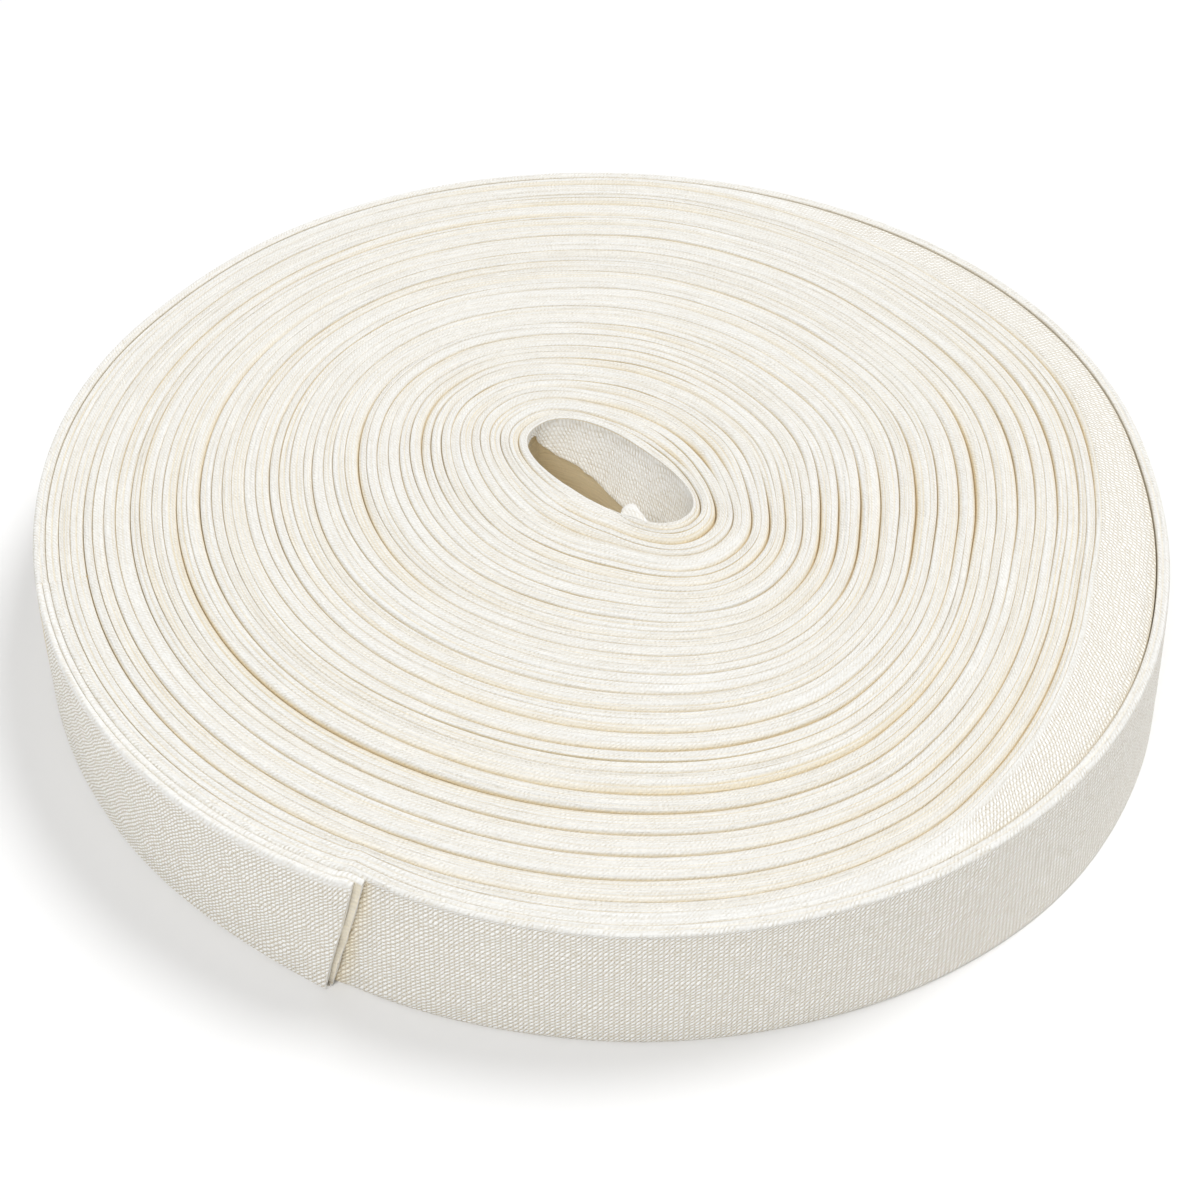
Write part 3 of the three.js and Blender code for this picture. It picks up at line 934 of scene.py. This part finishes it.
def build_outer_turn(name, material):
    """The last turn as a closed band: its two folded edges on top, its woven wall and its foot."""
    shell = Shell()
    rim, flare, out = rim_radius(ANGLES), wall_flare(ANGLES), direction(ANGLES)
    u = along_tape(out * rim[:, None], out * rim[:, None], 0.0)
    rows = Rows()

    def add(inward, z, v, weave, painted_shade):
        radius = rim - inward + flare * (1 - z / TAPE_WIDTH)
        rows.add(out * radius[:, None], z, v, weave, painted_shade)

    for z in INNER_SIDE:
        add(LAST_TURN_BAND, z, z - 2 * TAPE_WIDTH, 0.0, INNER_SIDE_SHADE)
    ripple = LAST_RIPPLE * wander(u, "last ripple") + LAST_RIPPLE * wander(u, "last waves")
    top = TAPE_WIDTH - LAST_DROP - LAST_DROP * (0.5 + 0.5 * wander(u, "last sink"))
    slit = LAST_SLIT + LAST_SLIT_UNEVENNESS * wander(u, "last slit")
    for inward, drop, weave, painted_shade in LAST_TOP:
        rippled = LAST_RIPPLED[0] < inward < LAST_RIPPLED[1]
        fall = slit if drop is None else drop - ripple * rippled
        add(inward * LAST_TURN_BAND, top - fall, -inward * LAST_TURN_BAND, weave, painted_shade)
    for row in range(WALL_ROWS + 1):
        share = row / WALL_ROWS
        z = (TAPE_WIDTH - WALL_TOP) * (1 - share) + WALL_FOOT * share
        bulge = WALL_BULGE * math.sin(math.pi * share)
        bare = smooth_step(cut_angle(z) + BESIDE_CUT[0], cut_angle(z) + BESIDE_CUT[1], ANGLES)
        painted_shade = FACE_SHADE + SHADE_HOLLOW * (1 - bare)
        add(-bare * (bulge + wall_ripple(u, z)), z, TAPE_WIDTH - z, 1.0, painted_shade)
    for inward, z, past, weave, painted_shade in LAST_FOOT:
        add(inward, z, TAPE_WIDTH + past, weave, painted_shade)
    points = np.stack(rows.points, 1)
    ids = shell.add_points(points)
    ids = np.concatenate([ids, ids[:, :1]], 1)
    v = np.stack(rows.v + [np.full(len(ANGLES), TAPE_WIDTH + INNER_SIDE_PAST)], 1)
    weave = np.stack(rows.weave + rows.weave[:1], 1)
    painted_shade = np.stack(rows.painted_shade + rows.painted_shade[:1], 1)
    shell.add_grid(ids, cloth_coords(u, v, weave), painted_shade)
    size = points.shape[1]
    # The start cap is painted in full shade, the end cap in half.
    shell.add_cap(ids[0, :size][::-1], 1)
    shell.add_cap(ids[-1, :size], 0.5)
    return shell.build(name, material), u[-1]


def wall_ripple(u, z):
    """Small unevenness of the outer wall, fading at its top and foot."""
    fade = math.sin(math.pi * np.clip(z / TAPE_WIDTH, 0, 1))
    return fade * (WALL_WAVES * wander(u, "wall waves") + WALL_RIPPLE * wander(u, "wall ripple"))


# The loose end on its cut: distance between plies, how far the folds spread and the inner half leans in
# over their uppermost stretch, rise of the folds, height of the raw edges, and depth of the foot's fold.
LOOSE_COLUMNS = 60
PLY_GAP = 0.025
FOLD_SPREAD = 0.05
FOLD_LEAN = 0.06
FOLD_STRETCH = 2.2
FOLD_RISE = 0.16
FOLD_DROP = 0.04
RAW_EDGE_HEIGHT = 0.55
FOOT_FOLD = 0.4

# The inner half is cut further on by these angles, and shows as a smooth strip in painted tan shade.
INNER_LEAD_FOOT = 0.4
INNER_LEAD_TOP = 0.8
INNER_STRIP_SHADE = 0.3
CUT_FRAY = 0.05


def folded_section():
    """Centre line of the strip across its width, from raw edge to raw edge.

    Each point is its offset from the wall below and its height: outer half, fold at the foot, inner half.
    """
    outer, inner = AIR_GAP + TAPE_THICKNESS - PLY / 2, AIR_GAP + PLY / 2
    gap = PLY + PLY_GAP
    wide = gap + FOLD_SPREAD
    top = TAPE_WIDTH - FOLD_DROP - PLY / 2 - FOLD_RISE
    foot = PLY / 2 + FOOT_FOLD
    heights = np.linspace(RAW_EDGE_HEIGHT, top, 12)
    over_the_top = np.linspace(0, np.pi, 7)[1:-1]

    def spread(z):
        return float(smooth_step(top - FOLD_STRETCH, top, z))

    line = [(outer - gap - FOLD_SPREAD * spread(z), z) for z in heights]
    for t in over_the_top:
        line.append((outer - wide / 2 - wide / 2 * np.cos(t), top + FOLD_RISE * np.sin(t)))
    line += [(outer, z) for z in np.linspace(top, foot, 20)]
    for t in np.linspace(0, np.pi, 8)[1:-1]:
        offset = (outer + inner) / 2 + (outer - inner) / 2 * np.cos(t)
        line.append((offset, foot - FOOT_FOLD * np.sin(t)))
    line += [(inner - FOLD_LEAN * spread(z), z) for z in np.linspace(foot, top, 16)]
    for t in over_the_top:
        line.append((inner - FOLD_LEAN + wide / 2 - wide / 2 * np.cos(t), top + FOLD_RISE * np.sin(t)))
    line += [(inner - FOLD_LEAN + gap + FOLD_SPREAD * spread(z), z) for z in heights[::-1]]
    return np.array(line)


def build_loose_end(name, material, u_start):
    """The loose end: the strip's four plies, cut off on a slant a little way off the wall."""
    shell = Shell()
    line = folded_section()
    steps = np.linalg.norm(np.diff(line, axis=0), axis=1)
    v_line = np.concatenate([[0], np.cumsum(steps)])
    at_top = np.argmax(line[: len(line) // 2, 1])
    v_line = v_line - v_line[at_top]
    tangent = np.gradient(line, axis=0)
    tangent /= np.linalg.norm(tangent, axis=1)[:, None]
    normal = np.stack([-tangent[:, 1], tangent[:, 0]], 1)
    one, other = line + normal * PLY / 2, line - normal * PLY / 2
    section = np.concatenate([one, other[::-1]])
    v = np.concatenate([v_line, v_line[::-1]])
    half = np.concatenate([np.arange(len(line)), np.arange(len(line))[::-1]]) / (len(line) - 1)
    off, z = section[:, 0], section[:, 1]
    lead = INNER_LEAD_FOOT + (INNER_LEAD_TOP - INNER_LEAD_FOOT) * z / TAPE_WIDTH
    lead = lead * smooth_step(0.46, 0.54, half)
    cut = cut_angle(z) + lead + CUT_FRAY * wander(v, "cut fray")
    share = np.linspace(0, 1, LOOSE_COLUMNS + 1)[:, None]
    angle = SEAM_ANGLE + (cut - SEAM_ANGLE) * share
    radius = rim_radius(angle) + wall_flare(angle) * (1 - z / TAPE_WIDTH) + off
    flat = direction(angle) * radius[..., None]
    points = np.concatenate([flat, np.broadcast_to(z, angle.shape)[..., None]], 2)
    ids = shell.add_points(points)
    ids = np.concatenate([ids, ids[:, :1]], 1)
    u = u_start + np.radians(angle - SEAM_ANGLE) * OUTLINE[-1][1]
    cloth = np.empty(ids.shape + (3,))
    cloth[..., 0] = np.concatenate([u, u[:, :1]], 1)
    cloth[..., 1] = np.append(v, v[0])
    # Only the outermost ply shows its weave. The strip of the inner half beside the cut is smooth, painted
    # in tan shade.
    shows = np.concatenate([np.ones(len(line)), np.zeros(len(line))]) * (half < 0.5) * (off > 0.9)
    shows = np.maximum(shows, (z > TAPE_WIDTH - 0.25) | (z < 0.3))
    weave = shows * (1 - 0.7 * smooth_step(TAPE_WIDTH - 0.6, TAPE_WIDTH - 0.25, z))
    cloth[..., 2] = np.append(weave, weave[0])
    painted_shade = np.broadcast_to(FACE_SHADE + INNER_STRIP_SHADE * (1 - np.append(shows, shows[0])), ids.shape)
    shell.add_grid(ids, cloth, painted_shade)
    size = points.shape[1]
    rows = len(line)
    # The cut ends are painted at the palest, a painted highlight on the cut edge.
    for end, order in ((0, -1), (-1, 1)):
        ring = ids[end, :size]
        for i in range(rows - 1):
            quad = [ring[i], ring[i + 1], ring[size - 2 - i], ring[size - 1 - i]]
            shell.add_cap(quad[::order], 0)
    return shell.build(name, material)


# The cloth: distance between threads, how long they lie on top, how round they are, how high the weaker set
# stands, how much the weave shows in the colour as painted shade between the threads and a painted
# highlight on their tops, and how much the lengthwise lines, the dots and the fuzz show in the colour.
THREAD_PITCH = 0.29
FLOAT_LENGTH = 0.42
THREAD_ROUNDNESS = 1.9
WEAK_THREAD = 0.5
WEAVE_GAP_SHADE = 0.62
WEAVE_HIGHLIGHT = 0.3
LINE_CONTRAST = 0.34
WEAVE_GAP_SHARPNESS = 1.3
DOT_CONTRAST = 0.22
FUZZ_CONTRAST = 0.1
# Shades turn warmer: red fades more slowly and blue faster than green, by these powers.
RED_POWER = 0.76
BLUE_POWER = 1.45
CLOTH_ROUGHNESS = 0.85
CLOTH_SHEEN = 0.15
CLOTH_SHEEN_ROUGHNESS = 0.6
CLOTH_SPECULAR = 0.25
RELIEF_STRENGTH = 0.8
RELIEF_HEIGHT = 0.12

# Noise over the cloth: how fine it is along and across the tape, and its detail and roughness.
NOISES = {
    "bend": (0.35, 0.35, 2.0, 0.5),
    "shiver": (2.2, 2.2, 1.0, 0.5),
    "patch": (0.9, 1.6, 2.0, 0.5),
    "slub": (0.3, 1.1, 1.0, 0.5),
    "lines": (0.16, 3.6, 3.0, 0.65),
    "dots": (2.4, 4.2, 2.0, 0.5),
    "fuzz": (5.0, 5.0, 3.0, 0.5),
}

# Painted shade colours, from the palest at 0, a painted light, to the tan painted shade at the bottom of an
# open groove at 1.
SHADE_COLOURS = [
    (0.0, (0.95, 0.94, 0.905, 1)),
    (0.06, (0.875, 0.867, 0.835, 1)),
    (0.2, (0.86, 0.82, 0.73, 1)),
    (0.5, (0.8, 0.7, 0.5, 1)),
    (1.0, (0.7, 0.56, 0.34, 1)),
]


def new_node(tree, kind, **settings):
    node = tree.nodes.new(kind)
    for key, value in settings.items():
        setattr(node, key, value)
    return node


def cloth_material(name):
    """Ivory cotton: a plain weave on the bias, lengthwise lines along the folds, painted tan shade in the
    hollows.
    """
    material = bpy.data.materials.new(name)
    material.use_nodes = True
    tree = material.node_tree
    tree.nodes.clear()
    link = tree.links.new
    output = new_node(tree, "ShaderNodeOutputMaterial")
    shader = new_node(tree, "ShaderNodeBsdfPrincipled")
    shader.inputs["Roughness"].default_value = CLOTH_ROUGHNESS
    shader.inputs["Sheen Weight"].default_value = CLOTH_SHEEN
    shader.inputs["Sheen Roughness"].default_value = CLOTH_SHEEN_ROUGHNESS
    shader.inputs["Specular IOR Level"].default_value = CLOTH_SPECULAR
    link(shader.outputs["BSDF"], output.inputs["Surface"])

    def math_node(operation, a, b=None, c=None, clamp=False):
        node = new_node(tree, "ShaderNodeMath", operation=operation, use_clamp=clamp)
        for socket, given in zip(node.inputs, (a, b, c)):
            if given is None:
                continue
            if isinstance(given, (int, float)):
                socket.default_value = given
            else:
                link(given, socket)
        return node.outputs[0]

    def add(a, b):
        return math_node("ADD", a, b)

    def subtract(a, b):
        return math_node("SUBTRACT", a, b)

    def times(a, b):
        return math_node("MULTIPLY", a, b)

    def scaled(a, factor, offset, clamp=False):
        return math_node("MULTIPLY_ADD", a, factor, offset, clamp=clamp)

    def centred(a, contrast):
        """A value from 0 to 1 made to swing by this much round 0."""
        return scaled(a, contrast, -contrast / 2)

    cloth = new_node(tree, "ShaderNodeAttribute", attribute_name="cloth")
    painted_shade = new_node(tree, "ShaderNodeAttribute", attribute_name="painted_shade").outputs["Fac"]
    split = new_node(tree, "ShaderNodeSeparateXYZ")
    link(cloth.outputs["Vector"], split.inputs[0])
    u, v, clear = split.outputs

    def noise(along, cross, kind):
        """Smooth noise from 0 to 1 over the cloth, stretched along one way."""
        scale_along, scale_cross, detail, roughness = NOISES[kind]
        at = new_node(tree, "ShaderNodeCombineXYZ")
        link(times(along, scale_along), at.inputs[0])
        link(times(cross, scale_cross), at.inputs[1])
        node = new_node(tree, "ShaderNodeTexNoise", noise_dimensions="2D")
        node.inputs["Scale"].default_value = 1.0
        node.inputs["Detail"].default_value = detail
        node.inputs["Roughness"].default_value = roughness
        link(at.outputs[0], node.inputs["Vector"])
        return node.outputs["Fac"]

    # Slow distortion keeps the threads from running dead straight.
    bent = add(centred(noise(u, v, "bend"), 0.9), centred(noise(u, v, "shiver"), 0.1))
    step = 1 / (THREAD_PITCH * math.sqrt(2))
    p = times(add(add(u, v), bent), step)
    q = times(subtract(subtract(u, v), bent), step)

    def thread(along, cross, shift):
        """Height of one set of threads: round across, over and under the other set along."""
        cell = math_node("FLOOR", cross)
        middle = math_node("ABSOLUTE", scaled(subtract(cross, cell), 2.0, -1.0))
        round_off = subtract(1.0, math_node("POWER", middle, THREAD_ROUNDNESS))
        wave = math_node("COSINE", scaled(add(along, cell), math.pi, shift))
        over = math_node("POWER", scaled(wave, 0.46, 0.54), FLOAT_LENGTH)
        return times(round_off, over)

    # Where the weave is faint it also comes and goes.
    faint = times(scaled(noise(u, v, "patch"), 3.2, -1.0, clamp=True), clear)
    weave = math_node("MAXIMUM", faint, scaled(clear, 2.0, -1.0))
    smooth = subtract(1.0, weave)

    # Slubs: some threads are thicker and stand higher than others.
    strong = times(thread(q, p, math.pi / 2), scaled(noise(q, p, "slub"), 1.2, 0.4))
    weak = times(thread(p, q, -math.pi / 2), WEAK_THREAD)
    height = math_node("MAXIMUM", strong, weak)

    # Fine lengthwise lines, as the plies' edges and the pressed folds show, and the fuzz of short fibres.
    lines = noise(u, v, "lines")
    dots = noise(u, v, "dots")
    fuzz = noise(u, v, "fuzz")

    # Colour: ivory, with a painted highlight on the threads' tops and painted tan shade in the hollows.
    ramp = new_node(tree, "ShaderNodeValToRGB")
    stops = ramp.color_ramp.elements
    stops[0].position, stops[0].color = SHADE_COLOURS[0]
    stops[1].position, stops[1].color = SHADE_COLOURS[-1]
    for position, colour in SHADE_COLOURS[1:-1]:
        stops.new(position).color = colour
    # The painted shade is broken up by the dots before it picks the colour.
    link(math_node("MULTIPLY", painted_shade, scaled(dots, 0.7, 0.65), clamp=True), ramp.inputs["Fac"])

    # Painted shade between the threads, and a painted highlight on their tops.
    gap = math_node("SUBTRACT", 1.0, height, clamp=True)
    gap_shade = times(math_node("POWER", gap, WEAVE_GAP_SHARPNESS), times(weave, WEAVE_GAP_SHADE))
    thread_highlight = times(height, times(weave, WEAVE_HIGHLIGHT))
    streak = times(centred(lines, LINE_CONTRAST), smooth)
    spot = times(centred(dots, DOT_CONTRAST), smooth)
    woven_light = subtract(add(thread_highlight, 1.0), gap_shade)
    light = add(add(woven_light, add(streak, centred(fuzz, FUZZ_CONTRAST))), spot)
    shade = new_node(tree, "ShaderNodeMix", data_type="RGBA", blend_type="MULTIPLY")
    shade.inputs["Factor"].default_value = 1.0
    link(ramp.outputs["Color"], shade.inputs["A"])
    tint = new_node(tree, "ShaderNodeCombineColor")
    link(math_node("MAXIMUM", light, math_node("POWER", light, RED_POWER)), tint.inputs[0])
    link(light, tint.inputs[1])
    link(math_node("MINIMUM", light, math_node("POWER", light, BLUE_POWER)), tint.inputs[2])
    link(tint.outputs[0], shade.inputs["B"])
    link(shade.outputs["Result"], shader.inputs["Base Color"])

    # Relief: the weave where it shows, the lengthwise lines elsewhere.
    woven = times(height, scaled(weave, 0.8, 0.2))
    lined = times(add(lines, times(dots, 0.4)), smooth)
    relief = add(add(woven, lined), times(fuzz, 0.25))
    bump = new_node(tree, "ShaderNodeBump")
    bump.inputs["Strength"].default_value = RELIEF_STRENGTH
    bump.inputs["Distance"].default_value = RELIEF_HEIGHT * MM
    link(relief, bump.inputs["Height"])
    link(bump.outputs["Normal"], shader.inputs["Normal"])
    return material


# The stage. The floor and the lamps are in metres, the camera in millimetres from the roll's own centre.
FLOOR_HALF_SIZE = 3.0
FLOOR_COLOUR = (0.94, 0.94, 0.94, 1)
FLOOR_ROUGHNESS = 0.9
FLOOR_SPECULAR = 0.1
WORLD_STRENGTH = 0.36
# Each lamp: name, place, diameter and power in watts. Both point at the roll.
LAMPS = [
    ("overhead", (0.576, 0.504, 1.224), 0.63, 11.2),
    ("front_left", (-0.36, -0.7, 1.07), 0.72, 7.3),
]
CAMERA_TARGET = (-0.195, -4.29)
CAMERA_ELEVATION = 44.33
CAMERA_DISTANCE = 184.1
CAMERA_LENS = 57.02
CAMERA_SENSOR = 36.0
CAMERA_REACH = (0.01, 20.0)


def floor_material():
    material = bpy.data.materials.new("floor")
    material.use_nodes = True
    shader = material.node_tree.nodes["Principled BSDF"]
    shader.inputs["Base Color"].default_value = FLOOR_COLOUR
    shader.inputs["Roughness"].default_value = FLOOR_ROUGHNESS
    shader.inputs["Specular IOR Level"].default_value = FLOOR_SPECULAR
    return material

def add_floor():
    h = FLOOR_HALF_SIZE
    mesh = bpy.data.meshes.new("floor")
    mesh.from_pydata([(-h, -h, 0), (h, -h, 0), (h, h, 0), (-h, h, 0)], [], [(0, 1, 2, 3)])
    mesh.materials.append(floor_material())
    put_in_scene("floor", mesh)


def add_area_light(name, place, size, power):
    """A round soft light that points at the roll."""
    light = bpy.data.lights.new(name, "AREA")
    light.shape = "DISK"
    light.size = size
    light.energy = power
    lamp = put_in_scene(name, light)
    lamp.location = place
    aim(lamp, (0, 0, 0))


def aim(thing, target):
    way = Vector(target) - Vector(thing.location)
    thing.rotation_euler = way.to_track_quat("-Z", "Y").to_euler()


def add_camera():
    data = bpy.data.cameras.new("camera")
    data.sensor_width = CAMERA_SENSOR
    data.lens = CAMERA_LENS
    data.clip_start, data.clip_end = CAMERA_REACH
    camera = put_in_scene("camera", data)
    rise = math.radians(CAMERA_ELEVATION)
    x = CAMERA_TARGET[0] * MM + ROLL_CENTRE[0]
    y = CAMERA_TARGET[1] * MM + ROLL_CENTRE[1]
    away, up = CAMERA_DISTANCE * MM * math.cos(rise), CAMERA_DISTANCE * MM * math.sin(rise)
    camera.location = (x, y - away, up)
    aim(camera, (x, y, 0))
    bpy.context.scene.camera = camera


def add_world():
    world = bpy.data.worlds.new("studio")
    world.use_nodes = True
    background = world.node_tree.nodes["Background"]
    background.inputs["Color"].default_value = (1, 1, 1, 1)
    background.inputs["Strength"].default_value = WORLD_STRENGTH
    bpy.context.scene.world = world


cloth = cloth_material("cotton_weave")
pieces = []
ends = [first - 1 for first in FIRST_OF_PIECE[1:]] + [TURNS]
for name, first, last in zip(("inner_turns", "middle_turns", "outer_turns"), FIRST_OF_PIECE, ends):
    pieces.append(build_turns(name, first, last, cloth))
outer_turn, tape_so_far = build_outer_turn("last_turn", cloth)
pieces.append(outer_turn)
loose_end = build_loose_end("tape_end", cloth, tape_so_far)
for piece in pieces:
    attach(piece, "root")
    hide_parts("roll")
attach(loose_end, "root")
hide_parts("loose_end")

add_floor()
add_world()
for lamp_name, place, size, power in LAMPS:
    add_area_light(lamp_name, place, size, power)
add_camera()
bpy.context.scene.view_settings.view_transform = "Standard"
